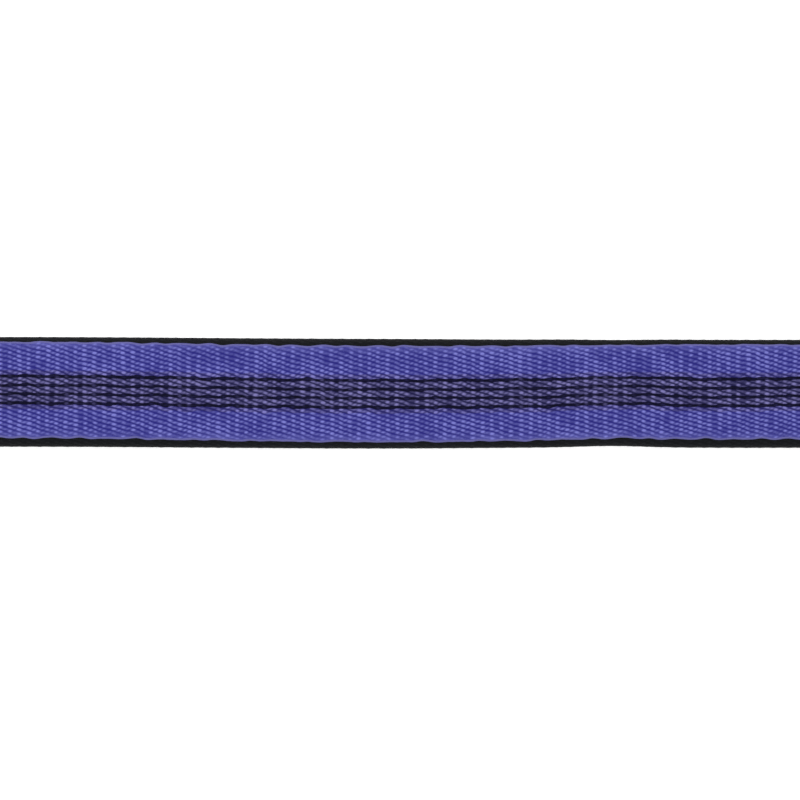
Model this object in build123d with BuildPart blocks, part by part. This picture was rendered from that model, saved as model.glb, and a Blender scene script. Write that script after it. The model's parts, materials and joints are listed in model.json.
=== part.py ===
"""Round sling: an endless hank of polyester yarn inside a woven tubular sleeve.

The sling lies pulled straight on the floor. Its two legs are stacked and it is open at both ends in an eye.
X runs along the sling, Y across its width and Z up. The origin is on the floor, in the middle of the sling.
"""

import os
from math import atan2, degrees, sin

from build123d import *

os.makedirs("parts", exist_ok=True)

# Driving dimensions, in millimetres
effective_length = 500.0  # between the two bearing points, inside the eyes
sling_width = 36.0  # flattened sleeve, across
sling_thickness = 7.0  # flattened sleeve with its core
sleeve_wall = 1.0
seat_radius = 10.0  # inside of each eye, where a hook or pin bears
leg_end = 175.0  # where the straight middle stops, from the centre
eye_start = 195.0  # where each rigid eye begins
bend_angle = 180.0  # each eye turns the sling right round

# The sewn joint of the sleeve, on the upper leg
joint_start = 100.0
joint_end = 118.0
shoulder_length = 6.0  # the outer end widens over this length
joint_clearance = 0.1  # between the two ends, one inside the other

# The label
label_width = 28.0
label_thickness = 0.6
label_tuck = 14.0  # length under the hem
label_hinge_x = 121.0
label_tip = 158.0
label_gap = 0.4  # each side of the label's hinge line
label_lift = 0.3  # height of the hinge line above the label's top face

# The core: turns of yarn, side by side
core_turns = 7
turn_diameter = 4.6
turn_pitch = 4.8
tape_length = 20.0
tape_thickness = 0.12
tape_clearance = 0.05

# Stitches across the joint
stitch_rows = (104.0, 113.0)
stitch_count = 8
stitch_pitch = 3.6
stitch_length = 2.8
stitch_width = 0.9
stitch_height = 0.5

# Worked-out sizes
leg_gap = joint_clearance / 2 + sleeve_wall + 0.25  # the thicker joint clears the leg below it
centre_radius = seat_radius + sling_thickness / 2  # middle line of the eye's turn
eye_x = effective_length / 2 - seat_radius
lower_z = sling_thickness / 2
upper_z = lower_z + sling_thickness + leg_gap
eye_z = lower_z + centre_radius
eye_top_z = eye_z + centre_radius
cavity_width = sling_width - 2 * sleeve_wall
cavity_height = sling_thickness - 2 * sleeve_wall
ramp_length = eye_x - eye_start
ramp_rise = eye_top_z - upper_z
ramp_angle = degrees(2 * atan2(ramp_rise, ramp_length))
ramp_radius = ramp_length / (2 * sin(2 * atan2(ramp_rise, ramp_length)))

label_room = label_thickness + joint_clearance
joint_cavity_height = sling_thickness + joint_clearance + label_room
joint_cavity_width = sling_width + joint_cavity_height - sling_thickness
joint_width = joint_cavity_width + 2 * sleeve_wall
joint_height = joint_cavity_height + 2 * sleeve_wall
joint_cavity_base = upper_z - sling_thickness / 2 - joint_clearance / 2
joint_z = joint_cavity_base + joint_cavity_height / 2
joint_top = joint_z + joint_height / 2
label_base_z = upper_z + sling_thickness / 2 + joint_clearance / 2

sides = {"left": -1, "right": 1}
levels = {"lower": lower_z, "upper": upper_z}
turn_places = [((i - (core_turns - 1) / 2) * turn_pitch, 0) for i in range(core_turns)]


def across(x, z, facing=1):
    """A plane square to the sling at x and height z, its own x along the sling's width."""
    return Plane(origin=(x, 0, z), x_dir=(0, 1, 0), z_dir=(facing, 0, 0))


def sleeve_profile():
    """The flattened woven tube."""
    SlotOverall(sling_width, sling_thickness)
    SlotOverall(cavity_width, cavity_height, mode=Mode.SUBTRACT)


def core_profile():
    """The turns of yarn, side by side."""
    with Locations(*turn_places):
        Circle(turn_diameter / 2)


def add_eye(profile, side):
    """Adds one eye to the part being built: the lower run, the turn and the ramp down to the upper leg."""
    axis_direction = (0, -side, 0)
    with BuildSketch(across(side * eye_start, lower_z, side)) as run_start:
        profile()
    extrude(run_start.sketch, amount=ramp_length)
    with BuildSketch(across(side * eye_x, lower_z)) as turn_start:
        profile()
    turn_axis = Axis((side * eye_x, 0, eye_z), axis_direction)
    revolve(turn_start.sketch, axis=turn_axis, revolution_arc=bend_angle)
    with BuildSketch(across(side * eye_x, eye_top_z)) as crest_start:
        profile()
    crest_axis = Axis((side * eye_x, 0, eye_top_z - ramp_radius), axis_direction)
    revolve(crest_start.sketch, axis=crest_axis, revolution_arc=ramp_angle)
    with BuildSketch(across(side * eye_start, upper_z)) as foot_start:
        profile()
    foot_axis = Axis((side * eye_start, 0, upper_z + ramp_radius), axis_direction)
    revolve(foot_start.sketch, axis=foot_axis, revolution_arc=ramp_angle)


def save(part, name):
    """Labels a finished piece and writes it."""
    part.label = name
    export_step(part, f"parts/{name}.step")


# Sleeve, lower leg: one plain run of tube
with BuildPart() as sleeve_lower_leg:
    with BuildSketch(across(-leg_end, lower_z)):
        sleeve_profile()
    extrude(amount=2 * leg_end)
save(sleeve_lower_leg.part, "sleeve_lower_leg")

# Sleeve, upper leg: it widens at its free end, which is drawn over the other end of the tube
with BuildPart() as sleeve_upper_leg:
    with BuildSketch(across(-leg_end, upper_z)):
        SlotOverall(sling_width, sling_thickness)
    extrude(amount=leg_end + joint_start - shoulder_length)
    with BuildSketch(across(joint_start - shoulder_length, upper_z)):
        SlotOverall(sling_width, sling_thickness)
    with BuildSketch(across(joint_start, joint_z)):
        SlotOverall(joint_width, joint_height)
    loft()
    with BuildSketch(across(joint_start, joint_z)):
        SlotOverall(joint_width, joint_height)
    extrude(amount=joint_end - joint_start)
    with BuildSketch(across(-leg_end, upper_z)):
        SlotOverall(cavity_width, cavity_height)
    extrude(amount=leg_end + joint_end, mode=Mode.SUBTRACT)
    with BuildSketch(across(joint_start, joint_z)):
        SlotOverall(joint_cavity_width, joint_cavity_height)
    extrude(amount=joint_end - joint_start, mode=Mode.SUBTRACT)
save(sleeve_upper_leg.part, "sleeve_upper_leg")

# Sleeve, the end that lies inside the joint and runs on to the right-hand bend
with BuildPart() as sleeve_tucked_end:
    with BuildSketch(across(joint_start + joint_clearance, upper_z)):
        sleeve_profile()
    extrude(amount=leg_end - joint_start - joint_clearance)
save(sleeve_tucked_end.part, "sleeve_tucked_end")

# Core, middle: each turn of yarn has a run in both legs
for number, place in enumerate(turn_places, start=1):
    with BuildPart() as core_turn:
        for level in levels.values():
            with BuildSketch(across(-leg_end, level)):
                with Locations(place):
                    Circle(turn_diameter / 2)
            extrude(amount=2 * leg_end)
    save(core_turn.part, f"core_turn_{number}")

# Tape that holds the core's turns together where the yarn's two ends meet
with BuildPart() as core_tape:
    taped_width = (core_turns - 1) * turn_pitch + turn_diameter + 2 * tape_clearance
    taped_height = turn_diameter + 2 * tape_clearance
    with BuildSketch(across(joint_start - shoulder_length - 2 * tape_length, upper_z)):
        SlotOverall(taped_width + 2 * tape_thickness, taped_height + 2 * tape_thickness)
        SlotOverall(taped_width, taped_height, mode=Mode.SUBTRACT)
    extrude(amount=tape_length)
save(core_tape.part, "core_tape")

# The bends beside each eye, and the eyes
for side_name, side in sides.items():
    with BuildPart() as sleeve_flex:
        for level in levels.values():
            with BuildSketch(across(side * leg_end, level, side)):
                sleeve_profile()
            extrude(amount=eye_start - leg_end)
    save(sleeve_flex.part, f"sleeve_{side_name}_flex")

    with BuildPart() as core_flex:
        for level in levels.values():
            with BuildSketch(across(side * leg_end, level, side)):
                core_profile()
            extrude(amount=eye_start - leg_end)
    save(core_flex.part, f"core_{side_name}_flex")

    with BuildPart() as sleeve_eye:
        add_eye(sleeve_profile, side)
    save(sleeve_eye.part, f"sleeve_{side_name}_eye")

    with BuildPart() as core_eye:
        add_eye(core_profile, side)
    save(core_eye.part, f"core_{side_name}_eye")

# Stitches across the joint, on its upper face
with BuildPart() as joint_stitching:
    for row_x in stitch_rows:
        with BuildSketch(Plane.XY.offset(joint_top)):
            with Locations((row_x, 0)):
                with GridLocations(0, stitch_pitch, 1, stitch_count):
                    SlotOverall(stitch_length, stitch_width, rotation=90)
        extrude(amount=stitch_height)
save(joint_stitching.part, "joint_stitching")

# Label: its base is sewn in under the hem and its flap lies on the sleeve
with BuildPart() as label_base:
    base_start = joint_end - label_tuck
    base_end = label_hinge_x - label_gap
    with BuildSketch(Plane.XY.offset(label_base_z)):
        with Locations(((base_start + base_end) / 2, 0)):
            Rectangle(base_end - base_start, label_width)
    extrude(amount=label_thickness)
save(label_base.part, "label_base")

with BuildPart() as label_flap:
    flap_start = label_hinge_x + label_gap
    with BuildSketch(Plane.XY.offset(label_base_z)):
        with Locations(((flap_start + label_tip) / 2, 0)):
            Rectangle(label_tip - flap_start, label_width)
    extrude(amount=label_thickness)
    fillet(label_flap.edges().filter_by(Axis.Z).group_by(Axis.X)[-1], 2.0)
save(label_flap.part, "label_flap")

print(f"upper leg z {upper_z:.2f}, eye centre x {eye_x:.1f} z {eye_z:.1f}")
print(f"ramp radius {ramp_radius:.2f}, ramp angle {ramp_angle:.2f}")
print(f"label hinge z {label_base_z + label_thickness + label_lift:.3f}")
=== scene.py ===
"""Round sling: the looks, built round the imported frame.

The sleeve is a flattened woven tube that runs round an endless loop. Its surface is worked out from two
coordinates: the distance along the loop, counted in picks, and the distance round the tube, counted in rows.
Mesh code shapes each float of yarn from them, and the weave material reads the same two from a UV map.
"""

import json
import math

import bpy
import numpy as np
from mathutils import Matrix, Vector


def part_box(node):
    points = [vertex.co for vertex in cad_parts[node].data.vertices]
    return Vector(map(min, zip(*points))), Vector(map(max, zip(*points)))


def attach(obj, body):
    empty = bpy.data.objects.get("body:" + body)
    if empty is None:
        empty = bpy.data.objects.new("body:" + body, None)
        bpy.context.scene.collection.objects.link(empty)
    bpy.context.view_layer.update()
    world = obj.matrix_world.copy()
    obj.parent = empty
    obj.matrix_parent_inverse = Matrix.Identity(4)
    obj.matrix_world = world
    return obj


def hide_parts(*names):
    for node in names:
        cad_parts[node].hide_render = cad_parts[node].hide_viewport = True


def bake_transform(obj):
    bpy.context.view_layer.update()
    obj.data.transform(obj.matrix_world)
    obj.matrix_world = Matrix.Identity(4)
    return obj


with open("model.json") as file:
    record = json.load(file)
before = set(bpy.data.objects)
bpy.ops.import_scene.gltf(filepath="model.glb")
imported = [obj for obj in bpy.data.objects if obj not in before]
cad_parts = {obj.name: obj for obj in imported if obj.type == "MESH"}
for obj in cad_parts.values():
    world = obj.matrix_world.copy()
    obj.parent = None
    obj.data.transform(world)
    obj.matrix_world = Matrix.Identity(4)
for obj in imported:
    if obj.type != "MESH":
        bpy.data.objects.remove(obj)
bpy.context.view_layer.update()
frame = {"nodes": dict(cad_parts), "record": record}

MM = 0.001

# ---------------------------------------------------------------- sizes, from the frame

mounts = {m["name"]: m for m in frame["record"]["mounts"]}
seat = mounts["right_eye_seat"]
lower_low, lower_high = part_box("sleeve_lower_leg")
tucked_low, tucked_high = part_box("sleeve_tucked_end")
joint_low, joint_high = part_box("sleeve_upper_leg")
stitch_low, stitch_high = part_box("joint_stitching")
base_low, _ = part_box("label_base")
flap_low, flap_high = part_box("label_flap")

WIDTH = lower_high.y - lower_low.y
THICKNESS = lower_high.z - lower_low.z
LOWER_Z = (lower_low.z + lower_high.z) / 2
UPPER_Z = (tucked_low.z + tucked_high.z) / 2
SIDE_RADIUS = THICKNESS / 2
FLAT_HALF = WIDTH / 2 - SIDE_RADIUS
SIDE_ARC = math.pi * SIDE_RADIUS
HALF_ROUND = 2 * FLAT_HALF + SIDE_ARC
WALL = 1.0 * MM  # thickness of the sleeve's cloth

EYE_X = seat["pos_m"][0]
EYE_Z = seat["pos_m"][2]
TURN_RADIUS = seat["dims"]["r_mm"] * MM + THICKNESS / 2
CREST_Z = EYE_Z + TURN_RADIUS
EYE_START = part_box("sleeve_right_flex")[1].x
RAMP_ANGLE = 2 * math.atan2(CREST_Z - UPPER_Z, EYE_X - EYE_START)
RAMP_RADIUS = (EYE_X - EYE_START) / (2 * math.sin(RAMP_ANGLE))

# where each stretch of the half loop ends, counted along it from the middle of the lower leg
AT_TURN = EYE_X
AT_CREST = AT_TURN + math.pi * TURN_RADIUS
AT_RAMP = AT_CREST + RAMP_ANGLE * RAMP_RADIUS
AT_FOOT = AT_RAMP + RAMP_ANGLE * RAMP_RADIUS
HALF_LOOP = AT_FOOT + EYE_START

# ---------------------------------------------------------------- the weave

# s is a distance along the loop, u a distance round the tube, and w a distance outward from the loop's line

PICKS = 672  # weft picks round the whole loop, a multiple of six so that every repeat of the weave closes
PICK = 2 * HALF_LOOP / PICKS
FACE_ROW = 1.5 * MM  # a row is the distance across from one diagonal to the next
TWILL = 1 / 3  # rows that the floats climb from one pick to the next
FACE_ROWS = 10.5  # rows from a face's middle to its dark edge of painted shade
SIDE_ROWS = 13.5  # rows from a face's middle to the middle of a side
FACE_EDGE = FACE_ROWS * FACE_ROW
SIDE_MIDDLE = HALF_ROUND / 2
EDGE_ROW = (SIDE_MIDDLE - FACE_EDGE) / (SIDE_ROWS - FACE_ROWS)
CUT = 111.5 * PICK  # the eyes' pieces start between two picks, beside the bend

# the yarn's height: its most, then the shares of it in the valleys, on a ridge and at a crossing
RELIEF = 0.4 * MM
VALLEY_RELIEF = 0.25
RIDGE_RELIEF = 0.35
CROSSING_RELIEF = 0.4
RELIEF_INSIDE = 0.75  # the share that lies inside the nominal outline
SIDE_SMOOTHING = 0.7  # how much less of it there is on the tube's sides

# unevenness of the weave: its size, the waves round the loop and the waves round the tube
ROW_SWAYS = ((0.06, 45, 2), (0.05, 77, -3), (0.05, 116, 5), (0.04, 167, -8))
PICK_SWAYS = ((0.12, 31, 1), (0.10, 64, -2), (0.06, 149, 6))

# how the sling strays from a straight and even band, along x. A swing is its size, the place of a crest and
# the length of one radian, and a hump is its height, its middle and its reach.
SIDE_SWING = (0.45 * MM, -185 * MM, 89 * MM)
SIDE_SWING_REACH = 210 * MM  # it dies away towards the eyes
SIDE_HUMPS = ((-0.45 * MM, -70 * MM, 75 * MM), (0.25 * MM, 30 * MM, 20 * MM))
WIDTH_SHARE = 1.012  # the usual width, as a share of the nominal one
WIDTH_STEP = 0.008  # the share by which the left is wider and the right narrower
WIDTH_STEP_X = -20 * MM
WIDTH_STEP_REACH = 20 * MM
WAIST = (-0.018, 31 * MM, 13 * MM)
WEAVE_TURN = 0.31 * MM
WEAVE_SWING = (0.42 * MM, -172 * MM, 40 * MM)
WEAVE_JOGS = ((0.45 * MM, 34 * MM, 17 * MM), (-0.45 * MM, 66 * MM, 17 * MM))
WEAVE_JOG_FOCUS = 4  # how strongly the jogs keep to the middle of the faces


def hump(x, height, middle, reach):
    """A smooth hump along x."""
    return height * np.exp(-(((x - middle) / reach) ** 2))


def swing(x, size, crest, radian):
    """A wave along x, from its crest's place and the length of one radian."""
    return size * np.cos((x - crest) / radian)


def side_wander(x):
    """How far the sling's middle line strays across, at x."""
    swung = swing(x, *SIDE_SWING) * np.exp(-((x / SIDE_SWING_REACH) ** 4))
    return swung + sum(hump(x, *one) for one in SIDE_HUMPS)


def width_wander(x):
    """The sling's width at x, as a share of its nominal width."""
    step = WIDTH_STEP * np.tanh((x - WIDTH_STEP_X) / WIDTH_STEP_REACH)
    return WIDTH_SHARE - step + hump(x, *WAIST)


def weave_wander(x, u):
    """How far the weave is turned round the tube at x. It jogs near the middle of each face."""
    jog = sum(hump(x, *one) for one in WEAVE_JOGS)
    near_middle = np.cos(math.pi * u / HALF_ROUND) ** WEAVE_JOG_FOCUS
    return WEAVE_TURN + swing(x, *WEAVE_SWING) + jog * near_middle


def loop(s):
    """Points and outward directions of the loop's middle line, s along it from the lower leg's middle."""
    s = (s + HALF_LOOP) % (2 * HALF_LOOP) - HALF_LOOP
    side = np.where(s < 0, -1.0, 1.0)
    a = np.abs(s)
    turn = (a - AT_TURN) / TURN_RADIUS
    crest = (a - AT_CREST) / RAMP_RADIUS
    foot = RAMP_ANGLE - (a - AT_RAMP) / RAMP_RADIUS
    stretches = [a < AT_TURN, a < AT_CREST, a < AT_RAMP, a < AT_FOOT]
    zero, one = np.zeros_like(a), np.ones_like(a)
    x = np.select(
        stretches,
        [
            a,
            EYE_X + TURN_RADIUS * np.sin(turn),
            EYE_X - RAMP_RADIUS * np.sin(crest),
            EYE_START + RAMP_RADIUS * np.sin(foot),
        ],
        EYE_START - (a - AT_FOOT),
    )
    z = np.select(
        stretches,
        [
            zero + LOWER_Z,
            EYE_Z - TURN_RADIUS * np.cos(turn),
            CREST_Z - RAMP_RADIUS * (1 - np.cos(crest)),
            UPPER_Z + RAMP_RADIUS * (1 - np.cos(foot)),
        ],
        UPPER_Z,
    )
    out_x = np.select(stretches, [zero, np.sin(turn), -np.sin(crest), -np.sin(foot)], 0.0)
    out_z = np.select(stretches, [-one, -np.cos(turn), np.cos(crest), np.cos(foot)], 1.0)
    return side * x, z, side * out_x, out_z


def upper(x):
    """The place along the loop of x on the upper leg."""
    return HALF_LOOP - x


def within_turn(u):
    """u round the tube, brought within half a turn of the outer face's middle."""
    return (u + HALF_ROUND) % (2 * HALF_ROUND) - HALF_ROUND


def section(u):
    """The tube's outline at u round it: across, outward, and the direction that its wall faces."""
    u = within_turn(u)
    side, a = np.sign(u), np.abs(u)
    angle = np.clip((a - FLAT_HALF) / SIDE_RADIUS, 0, math.pi)
    back = np.clip(a - FLAT_HALF - SIDE_ARC, 0, None)
    across = side * (np.minimum(a, FLAT_HALF) + SIDE_RADIUS * np.sin(angle) - back)
    outward = SIDE_RADIUS * np.cos(angle)
    return across, outward, side * np.sin(angle), np.cos(angle)


def tube_points(s, u, offset):
    """Points of the sleeve at s along the loop and u round it, offset outward from its nominal surface."""
    x, z, out_x, out_z = (value[:, None] for value in loop(s))
    across, outward, face_y, face_w = section(u)
    y = across * width_wander(x) + face_y * offset + side_wander(x)
    w = outward + face_w * offset
    return np.stack([x + w * out_x, y, z + w * out_z], -1)


def rows_at(u):
    """The row count at u round the tube, which goes on rising past a whole turn."""
    turns = np.floor((u + HALF_ROUND) / (2 * HALF_ROUND))
    u = within_turn(u)
    a = np.abs(u)
    near = np.minimum(a, HALF_ROUND - a)
    rows = np.where(near < FACE_EDGE, near / FACE_ROW, FACE_ROWS + (near - FACE_EDGE) / EDGE_ROW)
    rows = np.where(a > SIDE_MIDDLE, 2 * SIDE_ROWS - rows, rows)
    return np.sign(u) * rows + 4 * SIDE_ROWS * turns


def sway(waves, s, u):
    """Unevenness that closes on itself round the loop and round the tube."""
    along = math.pi * s[:, None] / HALF_LOOP
    around = math.pi * u / HALF_ROUND
    return sum(size * np.sin(k * along + m * around + k) for size, k, m in waves)


def weave_at(s, u):
    """The pick count and the row count at s along the loop and u round the tube."""
    turned = u - weave_wander(loop(s)[0][:, None], u)
    picks = s[:, None] / PICK + sway(PICK_SWAYS, s, u)
    return picks, rows_at(turned) + sway(ROW_SWAYS, s, u)


def relief(picks, rows):
    """The height of the yarn, as a share of its most, which it has on the crowns of the floats."""
    ridge = np.cos(math.pi * (rows - TWILL * picks)) ** 2
    crossing = np.cos(math.pi * (rows + (1 - TWILL) * picks)) ** 2
    return VALLEY_RELIEF + ridge * (RIDGE_RELIEF + CROSSING_RELIEF * crossing)


# ---------------------------------------------------------------- meshes


def mesh_object(name, points, faces, uvs, flat=0):
    """An object of quads, its faces turned outward. The last flat faces aren't shaded smooth."""
    a, b, c, d = (points[faces[:, k]] for k in range(4))
    volume = np.einsum("ij,ij->i", a, np.cross(b, c) + np.cross(c, d)).sum()
    if volume < 0:
        faces = faces[:, ::-1]
        uvs = uvs[:, ::-1]
    mesh = bpy.data.meshes.new(name)
    mesh.vertices.add(len(points))
    mesh.vertices.foreach_set("co", points.astype(np.float32).ravel())
    mesh.loops.add(faces.size)
    mesh.loops.foreach_set("vertex_index", faces.astype(np.int32).ravel())
    mesh.polygons.add(len(faces))
    mesh.polygons.foreach_set("loop_start", np.arange(0, faces.size, 4, dtype=np.int32))
    mesh.polygons.foreach_set("use_smooth", np.arange(len(faces)) < len(faces) - flat)
    layer = mesh.uv_layers.new(name="weave")
    layer.data.foreach_set("uv", uvs.astype(np.float32).ravel())
    mesh.update()
    mesh.validate()
    obj = bpy.data.objects.new(name, mesh)
    bpy.context.scene.collection.objects.link(obj)
    return obj


def corners(grid):
    """The values at the four corners of each quad, from a grid with one column more than the quads have."""
    return np.stack([grid[:-1, :-1], grid[:-1, 1:], grid[1:, 1:], grid[1:, :-1]], -1).reshape(-1, 4)


def ring_faces(rings, columns, first=0):
    """Quads between rings of points, closed round each ring."""
    index = first + np.arange(rings * columns).reshape(rings, columns)
    return corners(np.concatenate([index, index[:, :1]], 1))


def cap_faces(ring, inner_ring):
    """Quads between an outer and an inner ring of point numbers."""
    pair = np.stack([ring, inner_ring])
    return corners(np.concatenate([pair, pair[:, :1]], 1))


def columns_round(outer_per_row, inner_per_row, side_per_row=2):
    """Where the mesh's columns lie round the tube, denser on the faces that show."""
    outer = np.linspace(-FACE_EDGE, FACE_EDGE, int(2 * FACE_ROWS * outer_per_row) + 1)
    inner = HALF_ROUND + np.linspace(-FACE_EDGE, FACE_EDGE, int(2 * FACE_ROWS * inner_per_row) + 1)
    side_count = int(2 * (SIDE_ROWS - FACE_ROWS) * side_per_row)
    side = np.linspace(FACE_EDGE, HALF_ROUND - FACE_EDGE, side_count + 1)[1:-1]
    return np.concatenate([outer, side, inner, 2 * HALF_ROUND - side[::-1]])


# the joint, where the upper leg's end widens and is drawn over the other end
JOINT_LENGTH = 18 * MM
SHOULDER = 6 * MM  # the length over which it widens
SWELL_FULL = joint_high.x - JOINT_LENGTH
SWELL_START = SWELL_FULL - SHOULDER
JOINT_SIDE = (joint_high.y - joint_low.y - WIDTH) / 2
JOINT_UP = joint_high.z - tucked_high.z
HEM = (0.25 * MM, joint_high.x - 0.9 * MM, 0.8 * MM)  # the fold at its end: height, middle and reach
TUCKED_LENGTH = 10 * MM  # of the other end, inside it

# the puckers inside each eye: their height, their number, and how the height changes round the tube
PUCKER = 0.55 * MM
PUCKERS = 6.5
PUCKER_SHARPNESS = 1.5
PUCKER_CHANGE = 0.35
PUCKER_CHANGE_RADIAN = 7 * MM

STRAIGHT_INNER_PICKS = 3  # picks from ring to ring of a straight run's inner wall


def joint_rise(face_w):
    """How far the joint stands out from the sleeve's nominal surface, where that faces face_w outward."""
    return JOINT_SIDE + (JOINT_UP - JOINT_SIDE) * face_w


def swell(x):
    """How much of the joint's rise the sleeve has at x, from 0 to 1."""
    t = np.clip((x - SWELL_START) / (SWELL_FULL - SWELL_START), 0, 1)
    return t * t * (3 - 2 * t)


def wrinkle(s, u):
    """Small puckers on the inside of each eye, where the sleeve is bent tightly."""
    a = np.abs((s + HALF_LOOP) % (2 * HALF_LOOP) - HALF_LOOP)
    along = np.clip((a - AT_TURN) / (AT_CREST - AT_TURN), 0, 1)
    held = np.sin(math.pi * along) ** 2
    folds = np.abs(np.sin(PUCKERS * math.pi * along)) ** PUCKER_SHARPNESS
    inside = np.clip((np.abs(within_turn(u)) - FLAT_HALF) / SIDE_ARC, 0, 1) ** 2
    varied = 1 + PUCKER_CHANGE * np.cos(u / PUCKER_CHANGE_RADIAN)
    return PUCKER * (held * folds)[:, None] * inside * varied


def sleeve(name, s0, s1, columns, per_pick=4, widened=False):
    """One stretch of the sleeve as a closed tube, woven outside and plain inside.

    columns are the places of its points round the tube, and per_pick is its number of rings for each pick.
    """
    count = round((s1 - s0) / PICK * per_pick) + 1
    s = np.linspace(s0, s1, count)
    x, _, out_x, _ = loop(s)
    _, _, face_y, face_w = section(columns)
    closed = np.append(columns, columns[0] + 2 * HALF_ROUND)
    picks, rows = weave_at(s, closed)
    base = wrinkle(s, columns)
    woven = RELIEF * (relief(picks, rows)[:, :-1] - RELIEF_INSIDE) * (1 - SIDE_SMOOTHING * np.abs(face_y))
    if widened:
        base = base + swell(x)[:, None] * joint_rise(face_w)
        woven = woven + hump(x, *HEM)[:, None]

    # the inner wall needs few rings where it is straight
    straight = np.allclose(out_x, out_x[0])
    every = per_pick * STRAIGHT_INNER_PICKS if straight else per_pick
    inner = np.unique(np.append(np.arange(0, count, every), count - 1))
    outside = tube_points(s, columns, base + woven)
    inside = tube_points(s[inner], columns, base[inner] - WALL)
    points = np.concatenate([outside.reshape(-1, 3), inside.reshape(-1, 3)])

    # the two walls, and the ends that close the cloth between them
    wide = len(columns)
    ring = np.arange(wide)
    inner_first = count * wide
    last = (count - 1) * wide
    inner_last = inner_first + (len(inner) - 1) * wide
    faces = [
        ring_faces(count, wide),
        ring_faces(len(inner), wide, inner_first)[:, ::-1],
        cap_faces(ring, inner_first + ring)[:, ::-1],
        cap_faces(last + ring, inner_last + ring),
    ]
    grids = [(picks, rows), (picks[inner], rows[inner])]
    grids += [(picks[[k, k]], rows[[k, k]]) for k in (0, -1)]
    uvs = [np.stack([corners(a), corners(b)], -1) for a, b in grids]
    uvs[1] = uvs[1][:, ::-1]
    uvs[2] = uvs[2][:, ::-1]
    return mesh_object(name, points, np.concatenate(faces), np.concatenate(uvs), flat=2 * wide)


# ---------------------------------------------------------------- node helpers


class Nodes:
    """Builds a material's node graph."""

    def __init__(self, name):
        self.material = bpy.data.materials.new(name)
        self.material.use_nodes = True
        self.tree = self.material.node_tree
        self.shader = self.tree.nodes["Principled BSDF"]

    def add(self, kind, **settings):
        node = self.tree.nodes.new(kind)
        for key, value in settings.items():
            setattr(node, key, value)
        return node

    def feed(self, value, socket):
        """Links an output to a socket, or sets the socket to a plain value."""
        if isinstance(value, (int, float, tuple)):
            socket.default_value = value
        else:
            self.tree.links.new(value, socket)

    def math(self, operation, *values, clamp=False):
        node = self.add("ShaderNodeMath", operation=operation, use_clamp=clamp)
        for value, socket in zip(values, node.inputs):
            self.feed(value, socket)
        return node.outputs[0]

    def wave(self, value, period):
        """A wave from 0 to 1 that is 1 at 0 and at each period."""
        turned = self.math("COSINE", self.math("MULTIPLY", value, 2 * math.pi / period))
        return self.math("MULTIPLY_ADD", turned, 0.5, 0.5)

    def within(self, value, low, high):
        """1 where a value lies between two others, and 0 elsewhere."""
        above = self.math("GREATER_THAN", value, low)
        return self.math("MULTIPLY", above, self.math("LESS_THAN", value, high))

    def coordinates(self):
        """The two coordinates of the UV map that mesh_object gives."""
        split = self.add("ShaderNodeSeparateXYZ")
        self.feed(self.add("ShaderNodeUVMap", uv_map="weave").outputs[0], split.inputs[0])
        return split.outputs[0], split.outputs[1]

    def vector(self, x, y, z=0.0):
        node = self.add("ShaderNodeCombineXYZ")
        for value, socket in zip((x, y, z), node.inputs):
            self.feed(value, socket)
        return node.outputs[0]

    def noise(self, vector, scale, detail=2.0, roughness=0.5):
        node = self.add("ShaderNodeTexNoise")
        self.feed(vector, node.inputs["Vector"])
        self.feed(scale, node.inputs["Scale"])
        self.feed(detail, node.inputs["Detail"])
        self.feed(roughness, node.inputs["Roughness"])
        return node.outputs["Fac"]

    def fibres(self, along, across, cells, layer=0.0, detail=3.0):
        """Noise in streaks along the first coordinate, from the number of its cells in one unit of each."""
        scaled = [self.math("MULTIPLY", value, count) for value, count in zip((along, across), cells)]
        return self.noise(self.vector(*scaled, layer), scale=1.0, detail=detail, roughness=0.6)

    def between(self, value, low, high):
        """A value from 0 to 1 turned into one from low to high."""
        return self.math("MULTIPLY_ADD", value, high - low, low)

    def unlike(self, value, size):
        """A noise value turned into a change of up to about half of size each way."""
        return self.math("MULTIPLY", self.math("SUBTRACT", value, 0.5), size)

    def contrast(self, value, size, middle=0.5):
        """A noise value spread out about a new middle, and kept from 0 to 1."""
        return self.math("ADD", self.unlike(value, size), middle, clamp=True)

    def mix(self, factor, a, b):
        node = self.add("ShaderNodeMix", data_type="RGBA")
        self.feed(factor, node.inputs[0])
        self.feed(a, node.inputs[6])
        self.feed(b, node.inputs[7])
        return node.outputs[2]

    def steps(self, value, stops):
        """A colour ramp with hard steps, from (place, colour) pairs."""
        node = self.add("ShaderNodeValToRGB")
        ramp = node.color_ramp
        ramp.interpolation = "CONSTANT"
        while len(ramp.elements) < len(stops):
            ramp.elements.new(1.0)
        for element, (place, colour) in zip(ramp.elements, stops):
            element.position = place
            element.color = colour
        self.feed(value, node.inputs[0])
        return node.outputs["Color"]

    def bump(self, height, distance, strength):
        node = self.add("ShaderNodeBump")
        self.feed(strength, node.inputs["Strength"])
        self.feed(distance, node.inputs["Distance"])
        self.feed(height, node.inputs["Height"])
        self.feed(node.outputs[0], self.shader.inputs["Normal"])

    def surface(self, **values):
        """Sets or links the shader's sockets, by names with _ for each space."""
        for key, value in values.items():
            self.feed(value, self.shader.inputs[key.replace("_", " ")])
        return self.material


def srgb(r, g, b):
    """A linear colour from 0 to 255 sRGB values."""
    values = [c / 255 for c in (r, g, b)]
    return tuple(c / 12.92 if c <= 0.04045 else ((c + 0.055) / 1.055) ** 2.4 for c in values) + (1.0,)
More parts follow.
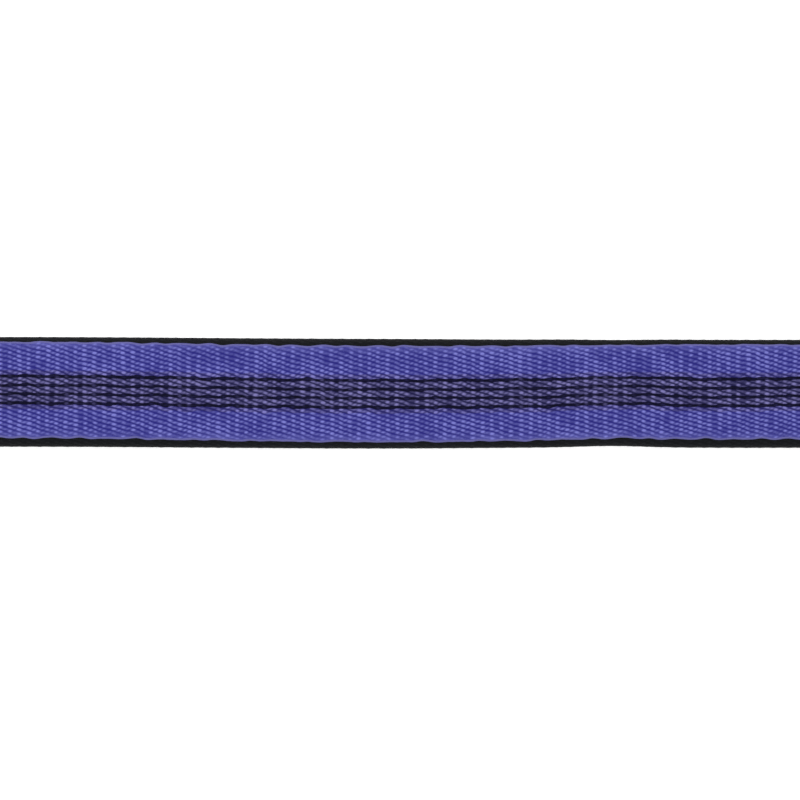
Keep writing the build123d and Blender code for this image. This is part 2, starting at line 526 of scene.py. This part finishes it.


# ---------------------------------------------------------------- materials

# each colour of yarn twice: a lit copy with a painted highlight, for the crown of a float, and a copy
# darkened with painted shade, for the gaps between floats
VIOLET = srgb(120, 121, 198), srgb(34, 31, 116)
MIXED = srgb(122, 118, 186), srgb(31, 27, 92)
PALE = srgb(121, 116, 172), srgb(22, 20, 64)
DARK = srgb(25, 23, 60), srgb(2, 2, 24)
# the rim's colours are a painted highlight along the fold of each face
RIM_HIGHLIGHT = srgb(116, 114, 168), srgb(70, 68, 132)
# the dark edge is painted shade along each side of the tube, a little lighter on the crowns
EDGE_SHADE = srgb(22, 24, 28), srgb(6, 7, 10)

# where the yarns change colour, in rows from a face's middle
STRIPE_ROWS = 3.22
BANDS = (
    (0.0, PALE),
    (0.6, DARK),
    (1.24, PALE),
    (2.58, DARK),
    (STRIPE_ROWS, MIXED),
    (4.2, VIOLET),
)
FOLLOW = 0.14  # the share of a float's slant that the colours' bounds follow
WAVER = 0.55  # rows that they stray over
RIM_START = 10.1
RIM_FADE = 1.6  # rows over which the diagonals fade towards the rim
SCALLOP = 0.09  # rows by which the rim waves
SCALLOP_PICKS = 6

# the shading of a float: its ridge along the diagonal, then the lifts at each crossing, pick and second pick
RIDGE_SHARPNESS = 1.7
CROSSING_LIFT = 0.48
PICK_LIFT = 0.14
SECOND_LIFT_LOW = 0.28
SECOND_LIFT_MORE = 0.5
LEAST_LIFT = 0.05
FLAT_LIFT = 0.45  # the even lift that the diagonals fade to at the rim
FLAT_SHARE = 0.6
EDGE_SHADE_AND_SHEEN = (0.5, 1.7)  # the dark edge's painted shade in the gaps and painted sheen on the crowns
EDGE_FLATNESS = 0.4  # how much less the plain outermost warp is raised
FILAMENT_HEIGHT = 0.35  # of the filaments, as a share of the floats' own

# how much the cloth varies: its second picks, floats, filaments and patches, and the plaid in its stripe
SECOND_CONTRAST = 2.2
FLOAT_CONTRAST = 0.85
FILAMENT_CONTRAST = 1.2
PATCH_CONTRAST = 1.8
PLAID_CONTRAST = 7.0
PLAID_MIDDLE = 0.1
PLAID = 0.28  # how much of the pale weft shows through the stripe's dark warp, where it shows most

# the scale of each unevenness, in noise cells for one millimetre
SECOND_SCALE = 0.09
PATCH_SCALE = 0.12
WAVER_SCALE = 0.24
PLAID_SCALE = 0.045

# the filaments: noise cells for each pick along them and for each row across them
FLOAT_FIBRES = (1.3, 26.0)
PLAIN_FIBRES = (0.5, 9.0)
FLOAT_LAYER = 3.0  # sets the floats' own noise apart from other noise


class Lattice:
    """Where a point of the cloth lies in its weave, as node outputs."""

    def __init__(self, n):
        self.picks, self.rows = n.coordinates()
        self.along = n.math("MULTIPLY", self.picks, PICK / MM)
        self.place = n.vector(self.along, n.math("MULTIPLY", self.rows, FACE_ROW / MM))
        self.from_middle = n.math("PINGPONG", self.rows, SIDE_ROWS)
        self.pick = n.math("ROUND", self.picks)
        diagonal = n.math("SUBTRACT", self.rows, n.math("MULTIPLY", self.picks, TWILL))
        self.line = n.math("ROUND", diagonal)
        self.from_line = n.math("SUBTRACT", diagonal, self.line)
        self.crossing = n.wave(n.math("ADD", diagonal, self.picks), 1)


def float_lift(n, at):
    """How far the yarn stands up: most where two diagonals cross, and more on every second pick."""
    ridge = n.math("COSINE", n.math("MULTIPLY", at.from_line, math.pi))
    ridge = n.math("POWER", ridge, RIDGE_SHARPNESS)
    higher = n.contrast(n.noise(at.place, SECOND_SCALE), SECOND_CONTRAST)
    second = n.math("MULTIPLY_ADD", higher, SECOND_LIFT_MORE, SECOND_LIFT_LOW)
    crown = n.math("MULTIPLY_ADD", n.wave(at.picks, 2), second, LEAST_LIFT)
    crown = n.math("ADD", crown, n.math("MULTIPLY", at.crossing, CROSSING_LIFT))
    crown = n.math("ADD", crown, n.math("MULTIPLY", n.wave(at.picks, 1), PICK_LIFT))
    return n.math("MULTIPLY", ridge, crown, clamp=True)


def float_tone_and_painted_light(n, at, lift, filament):
    """How bright the yarn is: painted highlight on its crowns and painted shade in its gaps, from how far it
    stands up. No two floats are quite alike.
    """
    cell = n.add("ShaderNodeTexWhiteNoise", noise_dimensions="3D")
    n.feed(n.vector(at.pick, at.line, FLOAT_LAYER), cell.inputs["Vector"])
    unlike = n.math("MULTIPLY", n.unlike(cell.outputs["Value"], FLOAT_CONTRAST), at.crossing)
    unlike = n.math("ADD", unlike, n.unlike(filament, FILAMENT_CONTRAST))
    unlike = n.math("ADD", unlike, n.unlike(n.noise(at.place, PATCH_SCALE), PATCH_CONTRAST))
    faded = n.math("SUBTRACT", at.from_middle, RIM_START - RIM_FADE)
    faded = n.math("MULTIPLY", n.math("DIVIDE", faded, RIM_FADE, clamp=True), FLAT_SHARE)
    flatter = n.math("MULTIPLY_ADD", n.math("SUBTRACT", FLAT_LIFT, lift), faded, lift)
    return n.math("MULTIPLY", flatter, n.math("ADD", 1.0, unlike), clamp=True)


def banded_cloth(n, at, light_and_tone):
    """The bands of colour. Their bounds waver, and follow the floats part of the way."""
    float_row = n.math("MULTIPLY_ADD", at.pick, TWILL, at.line)
    wavering = n.math("MULTIPLY_ADD", n.math("SUBTRACT", float_row, at.rows), FOLLOW, at.rows)
    wavering = n.math("ADD", wavering, n.unlike(n.noise(at.place, WAVER_SCALE), WAVER))
    distance = n.math("DIVIDE", n.math("PINGPONG", wavering, SIDE_ROWS), SIDE_ROWS)
    crowns, gaps = ([(start / SIDE_ROWS, pair[k]) for start, pair in BANDS] for k in (0, 1))
    # painted shade in the gaps and painted highlight on the crowns, from the two copies of each band's
    # colour
    cloth = n.mix(light_and_tone, n.steps(distance, gaps), n.steps(distance, crowns))

    # in patches along the stripe, the weft shows through its dark warp and makes it look chequered
    patches = n.contrast(n.noise(n.vector(at.along, 0.0), PLAID_SCALE), PLAID_CONTRAST, PLAID_MIDDLE)
    weft = n.math("MULTIPLY", n.wave(at.picks, 2), n.math("MULTIPLY", patches, PLAID))
    in_stripe = n.math("LESS_THAN", distance, STRIPE_ROWS / SIDE_ROWS)
    # the weft that shows through gets the same painted shade and painted highlight
    return n.mix(n.math("MULTIPLY", weft, in_stripe), cloth, n.mix(light_and_tone, PALE[1], PALE[0]))


def plain_warp(n, at, lift):
    """The colour of the plain outermost warp, a pale rim of painted highlight and then the dark edge of
    painted shade, and where it lies.
    """
    waved = n.math("MULTIPLY_ADD", n.wave(at.picks, SCALLOP_PICKS), -2 * SCALLOP, at.from_middle)
    streak = n.fibres(at.picks, waved, PLAIN_FIBRES)
    # a painted highlight along the rim
    rim_highlight = n.mix(streak, RIM_HIGHLIGHT[1], RIM_HIGHLIGHT[0])
    # painted shade along the edge, with painted sheen on the crowns
    edge_shade_and_sheen = n.math("MULTIPLY", streak, n.between(lift, *EDGE_SHADE_AND_SHEEN), clamp=True)
    edge_shade = n.mix(edge_shade_and_sheen, EDGE_SHADE[1], EDGE_SHADE[0])
    colour = n.mix(n.math("GREATER_THAN", waved, FACE_ROWS - SCALLOP), rim_highlight, edge_shade)
    return colour, n.math("GREATER_THAN", waved, RIM_START - SCALLOP)


def weave_material():
    """The sleeve's cloth: floats in diagonals, in violet with a pale and dark stripe, painted highlight on
    the crowns and painted shade in the gaps, and dark edges of painted shade beyond a pale rim of painted
    highlight.
    """
    n = Nodes("sleeve_weave")
    at = Lattice(n)
    lift = float_lift(n, at)
    filament = n.fibres(at.picks, at.from_line, FLOAT_FIBRES, layer=at.line, detail=2.0)
    cloth = banded_cloth(n, at, float_tone_and_painted_light(n, at, lift, filament))
    plain, outermost = plain_warp(n, at, lift)
    floats = n.math("MULTIPLY", lift, n.between(outermost, 1.0, 1 - EDGE_FLATNESS))
    n.bump(n.math("MULTIPLY_ADD", filament, FILAMENT_HEIGHT, floats), distance=0.2 * MM, strength=0.8)
    rough = n.between(filament, 0.62, 0.82)
    return n.surface(Base_Color=n.mix(outermost, cloth, plain), Roughness=rough, Specular_IOR_Level=0.08)


PLY_FIBRES = 9.0  # noise cells across each ply of a twisted yarn


def yarn_material(name, colour, dark, plies):
    """Twisted multifilament yarn, its filaments along the UV map's first axis."""
    n = Nodes(name)
    filament = n.fibres(*n.coordinates(), (1.0, plies * PLY_FIBRES))
    n.bump(filament, distance=0.15 * MM, strength=0.7)
    rough = n.between(filament, 0.45, 0.7)
    return n.surface(Base_Color=n.mix(filament, dark, colour), Roughness=rough, Sheen_Weight=0.2)


def tape_material():
    """Creased paper tape."""
    n = Nodes("core_tape")
    crease = n.noise(n.add("ShaderNodeTexCoord").outputs["Object"], scale=900.0, detail=3.0)
    n.bump(crease, distance=0.05 * MM, strength=0.6)
    colour = n.mix(crease, srgb(176, 166, 134), srgb(204, 196, 166))
    return n.surface(Base_Color=colour, Roughness=n.between(crease, 0.25, 0.55))


LABEL_BLUE = srgb(22, 66, 142)
LABEL_SHADE = srgb(14, 44, 104)
LABEL_LINE = srgb(186, 196, 212)
LABEL_THREAD = 0.42  # millimetres, as all the label's sizes below
LABEL_MARGIN = 3.2
LABEL_RULING = 4.2
LABEL_RULE = 0.4
LABEL_TABLE_START = 0.36  # as a share of the label's length
LABEL_COLUMN = 0.38  # as a share of the table's length
LABEL_DEPTH = 0.6  # how much darker the gaps between its threads are, as painted shade
LABEL_FADING = 0.6


def label_material(length, width):
    """Blue woven label with an empty ruled table on its far part. UVs are millimetres."""
    n = Nodes("label")
    along, across = n.coordinates()
    weave = n.math("MULTIPLY", n.wave(across, LABEL_THREAD), n.wave(along, LABEL_THREAD))
    fading = n.noise(n.vector(along, across), scale=0.25, detail=3.0)
    # painted shade in the gaps between the threads, and fading
    shade = n.math("MULTIPLY_ADD", weave, LABEL_DEPTH, n.unlike(fading, LABEL_FADING), clamp=True)
    blue = n.mix(shade, LABEL_SHADE, LABEL_BLUE)

    side = n.math("ABSOLUTE", across)
    border = width / 2 - LABEL_MARGIN
    first = LABEL_TABLE_START * length
    last = length - LABEL_MARGIN
    column = first + LABEL_COLUMN * (last - first)
    from_ruling = n.math("PINGPONG", n.math("ADD", across, LABEL_RULING / 2), LABEL_RULING / 2)
    lines = n.math("LESS_THAN", from_ruling, LABEL_RULE / 2)
    starts = (along, column), (along, first), (along, last - LABEL_RULE), (side, border - LABEL_RULE)
    for value, start in starts:
        lines = n.math("MAXIMUM", lines, n.within(value, start, start + LABEL_RULE))
    table = n.math("MULTIPLY", n.within(along, first, last), n.math("LESS_THAN", side, border))
    # painted shade in the gaps between threads darkens the ruled lines too
    lines = n.math("MULTIPLY", n.math("MULTIPLY", lines, table), n.between(weave, 0.65, 0.95))
    n.bump(weave, distance=0.08 * MM, strength=0.6)
    rough = n.between(fading, 0.55, 0.75)
    return n.surface(Base_Color=n.mix(lines, blue, LABEL_LINE), Roughness=rough, Sheen_Weight=0.1)


def floor_material():
    """A plain white studio floor."""
    n = Nodes("floor")
    cloud = n.noise(n.add("ShaderNodeTexCoord").outputs["Object"], scale=6.0)
    colour = n.mix(cloud, (0.9, 0.9, 0.9, 1.0), (0.92, 0.92, 0.92, 1.0))
    glow = {"Emission_Color": (1.0, 1.0, 1.0, 1.0), "Emission_Strength": 0.55}
    return n.surface(Base_Color=colour, Roughness=0.9, Specular_IOR_Level=0.1, **glow)


# ---------------------------------------------------------------- pieces of the object


def tube_along(name, paths, radius, sides, plies, groove, lay):
    """Twisted yarn along paths of points, each with its own up directions. lay is the length of one twist.

    groove is how deep the plies' grooves are, as a share of the radius.
    """
    points, faces, uvs = [], [], []
    first = 0
    angle = np.linspace(0, 2 * math.pi, sides, endpoint=False)
    for centre, up, tangent in paths:
        side = np.cross(tangent, up)
        run = np.concatenate([[0], np.cumsum(np.linalg.norm(np.diff(centre, axis=0), axis=1))])
        twist = run[:, None] / lay
        ply = np.abs(np.cos(plies / 2 * (angle - 2 * math.pi * twist)))
        size = radius * (1 - groove + groove * ply)
        out = np.cos(angle)[:, None] * up[:, None] + np.sin(angle)[:, None] * side[:, None]
        ring = centre[:, None] + size[..., None] * out
        rings = len(centre)
        points += [ring.reshape(-1, 3), centre[:1], centre[-1:]]
        faces.append(ring_faces(rings, sides, first))
        around = np.linspace(0, 1, sides + 1) - twist
        uvs.append(np.stack([corners(run[:, None] / MM + 0 * around), corners(around)], -1))

        # each end is closed with quads that meet in its middle
        start_middle = first + rings * sides
        end_middle = start_middle + 1
        last = start_middle - sides
        pair = np.arange(0, sides, 2)
        after = (pair + 2) % sides
        faces.append(np.stack([start_middle + 0 * pair, first + after, first + pair + 1, first + pair], -1))
        faces.append(np.stack([end_middle + 0 * pair, last + pair, last + pair + 1, last + after], -1))
        uvs.append(np.zeros((sides, 4, 2)))
        first = end_middle + 1
    return mesh_object(name, np.concatenate(points), np.concatenate(faces), np.concatenate(uvs))


CORE_TURNS = 7
CORE_STATION = 2.4 * MM
CORE_LAY = 38 * MM
CORE_PLIES = 3
CORE_GROOVE = 0.16
CORE_SIDES = 18


def core_path(s0, s1, across):
    """Points of one turn of yarn along the loop."""
    s = np.linspace(s0, s1, int((s1 - s0) / CORE_STATION) + 2)
    x, z, out_x, out_z = loop(s)
    centre = np.stack([x, across + side_wander(x), z], -1)
    up = np.stack([out_x, 0 * x, out_z], -1)
    tangent = np.stack([-out_z, 0 * x, out_x], -1)
    return centre, up, tangent


STITCH_LENGTH = 2.8 * MM
STITCH_PITCH = 3.6 * MM
STITCH_RADIUS = 0.42 * MM
STITCH_LAY = 2.2 * MM
STITCH_PLIES = 2
STITCH_GROOVE = 0.15
STITCH_SIDES = 10
STITCH_POINTS = 9
STITCH_CROWN = 0.28 * MM  # how far its middle line stands off the cloth
STITCH_DIP = 0.75 * MM  # how much lower its ends are
STITCH_DIP_SHARPNESS = 5
STITCH_SLANT = 0.25 * MM
STITCHES = 14  # in each row, over the joint's top and sides


def stitches():
    """Rows of stitches over the top and sides of the joint."""
    paths = []
    t = np.linspace(-1, 1, STITCH_POINTS)
    lift = STITCH_CROWN - STITCH_DIP * np.abs(t) ** STITCH_DIP_SHARPNESS
    for row_x in (stitch_low.x + STITCH_RADIUS, stitch_high.x - STITCH_RADIUS):
        for k in range(STITCHES):
            middle = (k - (STITCHES - 1) / 2) * STITCH_PITCH
            x = row_x + STITCH_SLANT * t
            across, outward, face_y, face_w = section(middle + t * STITCH_LENGTH / 2)
            off = lift + joint_rise(face_w)
            y = across + face_y * off + side_wander(x)
            centre = np.stack([x, y, UPPER_Z + outward + face_w * off], -1)
            tangent = np.gradient(centre, axis=0)
            tangent /= np.linalg.norm(tangent, axis=1)[:, None]
            up = np.cross((1.0, 0.0, 0.0), tangent)
            up /= np.linalg.norm(up, axis=1)[:, None]
            paths.append((centre, up, tangent))
    twisted = (STITCH_RADIUS, STITCH_SIDES, STITCH_PLIES, STITCH_GROOVE, STITCH_LAY)
    return tube_along("joint_thread", paths, *twisted)


LABEL_CORNER = 2 * MM
LABEL_REST = 0.15 * MM  # how far the label stands off the cloth
LABEL_CURL = 1.1 * MM  # how far its tip has curled up
LABEL_CURL_SHARPNESS = 2.2
LABEL_BOW = 0.35 * MM  # how far its tip is bowed across
LABEL_BOW_ANGLE = 2.2  # the bow's wave, from the middle to an edge, in radians
LABEL_FILL = 0.8  # its thickness, as a share of the CAD flap's
LABEL_RINGS = 110
LABEL_POINTS = 56  # across each face


def label():
    """The woven label: its base is under the hem and its flap lies along the sleeve."""
    start, tip = base_low.x, flap_high.x
    half = (flap_high.y - flap_low.y) / 2
    thick = LABEL_FILL * (flap_high.z - flap_low.z)
    x = np.linspace(start, tip, LABEL_RINGS)[:, None]
    v = np.linspace(-1, 1, LABEL_POINTS)
    past = np.clip(x - (tip - LABEL_CORNER), 0, LABEL_CORNER)
    y = (half - LABEL_CORNER + np.sqrt(LABEL_CORNER**2 - past**2)) * v
    lifted = np.clip((x - flap_low.x) / (tip - flap_low.x), 0, 1)
    z = (flap_low.z + flap_high.z) / 2 + LABEL_REST
    z = z + LABEL_CURL * lifted**LABEL_CURL_SHARPNESS + LABEL_BOW * lifted * np.cos(LABEL_BOW_ANGLE * v)
    sides = [np.stack([x + 0 * y, y + side_wander(x), z + up * thick / 2], -1) for up in (1, -1)]
    ring = np.concatenate([sides[0], sides[1][:, ::-1]], 1)
    rings, columns = ring.shape[:2]
    across = np.concatenate([y, y[:, ::-1], y[:, :1]], 1) / MM
    along = (x - start) / MM + 0 * across
    end = np.arange(len(v))
    ends = [cap_faces(k + end, k + columns - 1 - end)[:-1] for k in (0, (rings - 1) * columns)]
    faces = [ring_faces(rings, columns), ends[0], ends[1][:, ::-1]]
    uvs = [np.stack([corners(along), corners(across)], -1), np.zeros((2 * len(end) - 2, 4, 2))]
    piece = mesh_object("label", ring.reshape(-1, 3), np.concatenate(faces), np.concatenate(uvs))
    return piece, (2 * half, tip - start)


def dress(piece, material, slot, body, *nodes):
    """Gives a finished piece its material, hides the nodes it stands for and puts it on the body it rides
    on. slot is not used.
    """
    piece.data.materials.append(material)
    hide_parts(*nodes)
    if body is not None:
        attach(piece, body)


def bend(piece):
    """Bakes a piece's transform into its mesh."""
    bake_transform(piece)


# where each eye's pieces start and end along the loop
EYES = {"right": (CUT, upper(CUT)), "left": (-upper(CUT), -CUT)}

# the sleeve, in five stretches, with the finest mesh where it shows
weave = weave_material()
show_outer = columns_round(outer_per_row=4, inner_per_row=0.5)
show_both = columns_round(outer_per_row=4, inner_per_row=3)
show_little = columns_round(outer_per_row=3, inner_per_row=0.5)
lower_leg = sleeve("sleeve_lower", -CUT, CUT, show_little, per_pick=3)
upper_leg = sleeve("sleeve_upper", upper(joint_high.x), upper(-CUT), show_outer, widened=True)
tucked = sleeve("sleeve_tucked", upper(CUT), upper(joint_high.x - TUCKED_LENGTH), show_outer)
dress(lower_leg, weave, "sleeve_weave", "middle", "sleeve_lower_leg")
dress(upper_leg, weave, "sleeve_weave", "middle", "sleeve_upper_leg")
dress(tucked, weave, "sleeve_weave", "middle", "sleeve_tucked_end")
for side_name, ends in EYES.items():
    piece = sleeve(f"sleeve_{side_name}", *ends, show_both)
    dress(piece, weave, "sleeve_weave", None, f"sleeve_{side_name}_flex", f"sleeve_{side_name}_eye")
    bend(piece)

# the core: each turn of yarn in the middle, and all the turns together in each eye
core_yarn = yarn_material("core_yarn", srgb(218, 214, 202), srgb(176, 170, 152), CORE_PLIES)
turns = [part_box(f"core_turn_{k + 1}") for k in range(CORE_TURNS)]
turn_places = [(low.y + high.y) / 2 for low, high in turns]
turn_radius = (turns[0][1].y - turns[0][0].y) / 2
twisted = (turn_radius, CORE_SIDES, CORE_PLIES, CORE_GROOVE, CORE_LAY)
for k, place in enumerate(turn_places, start=1):
    runs = [core_path(-CUT, CUT, place), core_path(upper(CUT), upper(-CUT), place)]
    strand = tube_along(f"core_yarn_{k}", runs, *twisted)
    dress(strand, core_yarn, "core_yarn", "middle", f"core_turn_{k}")
for side_name, ends in EYES.items():
    strands = tube_along(f"core_{side_name}", [core_path(*ends, place) for place in turn_places], *twisted)
    dress(strands, core_yarn, "core_yarn", None, f"core_{side_name}_flex", f"core_{side_name}_eye")
    bend(strands)

# the tape, whose CAD shape stays, the stitches and the label
tape = frame["nodes"]["core_tape"]
tape.data.materials.clear()
tape.data.materials.append(tape_material())

thread = yarn_material("sewing_thread", srgb(206, 202, 190), srgb(148, 142, 128), STITCH_PLIES)
dress(stitches(), thread, "sewing_thread", "middle", "joint_stitching")

tag, tag_size = label()
dress(tag, label_material(tag_size[1] / MM, tag_size[0] / MM), "label", None, "label_base", "label_flap")
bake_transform(tag)

# ---------------------------------------------------------------- floor, light and camera

FLOOR_DROP = 0.2 * MM  # the floor lies just clear of the sling

bpy.ops.mesh.primitive_plane_add(size=6, location=(0, 0, -FLOOR_DROP))
floor = bpy.context.object
floor.name = "floor"
floor.data.materials.append(floor_material())


def area_light(name, place, size, power):
    """A square soft light that is aimed at the sling."""
    data = bpy.data.lights.new(name, "AREA")
    data.shape = "SQUARE"
    data.size = size
    data.energy = power
    obj = bpy.data.objects.new(name, data)
    bpy.context.scene.collection.objects.link(obj)
    obj.location = place
    obj.rotation_euler = (-Vector(place)).to_track_quat("-Z", "Y").to_euler()


area_light("key", place=(-0.45, 0.6, 0.95), size=0.5, power=5.5)
area_light("fill", place=(0.5, -0.8, 0.9), size=0.9, power=1.5)

world = bpy.data.worlds.new("studio")
bpy.context.scene.world = world
world.use_nodes = True
background = world.node_tree.nodes["Background"]
background.inputs["Color"].default_value = (1, 1, 1, 1)
background.inputs["Strength"].default_value = 0.85
bpy.context.scene.view_settings.view_transform = "Standard"

VIEW_X = -40 * MM  # the middle of the view, along the sling
VIEW_Y = -2.5 * MM
VIEW_WIDTH = 265.4 * MM
camera_data = bpy.data.cameras.new("camera")
camera_data.lens = 100
camera_data.sensor_width = 36
camera_data.clip_end = 20
camera = bpy.data.objects.new("camera", camera_data)
bpy.context.scene.collection.objects.link(camera)
camera.location = (VIEW_X, VIEW_Y, tucked_high.z + VIEW_WIDTH * camera_data.lens / camera_data.sensor_width)
bpy.context.scene.camera = camera
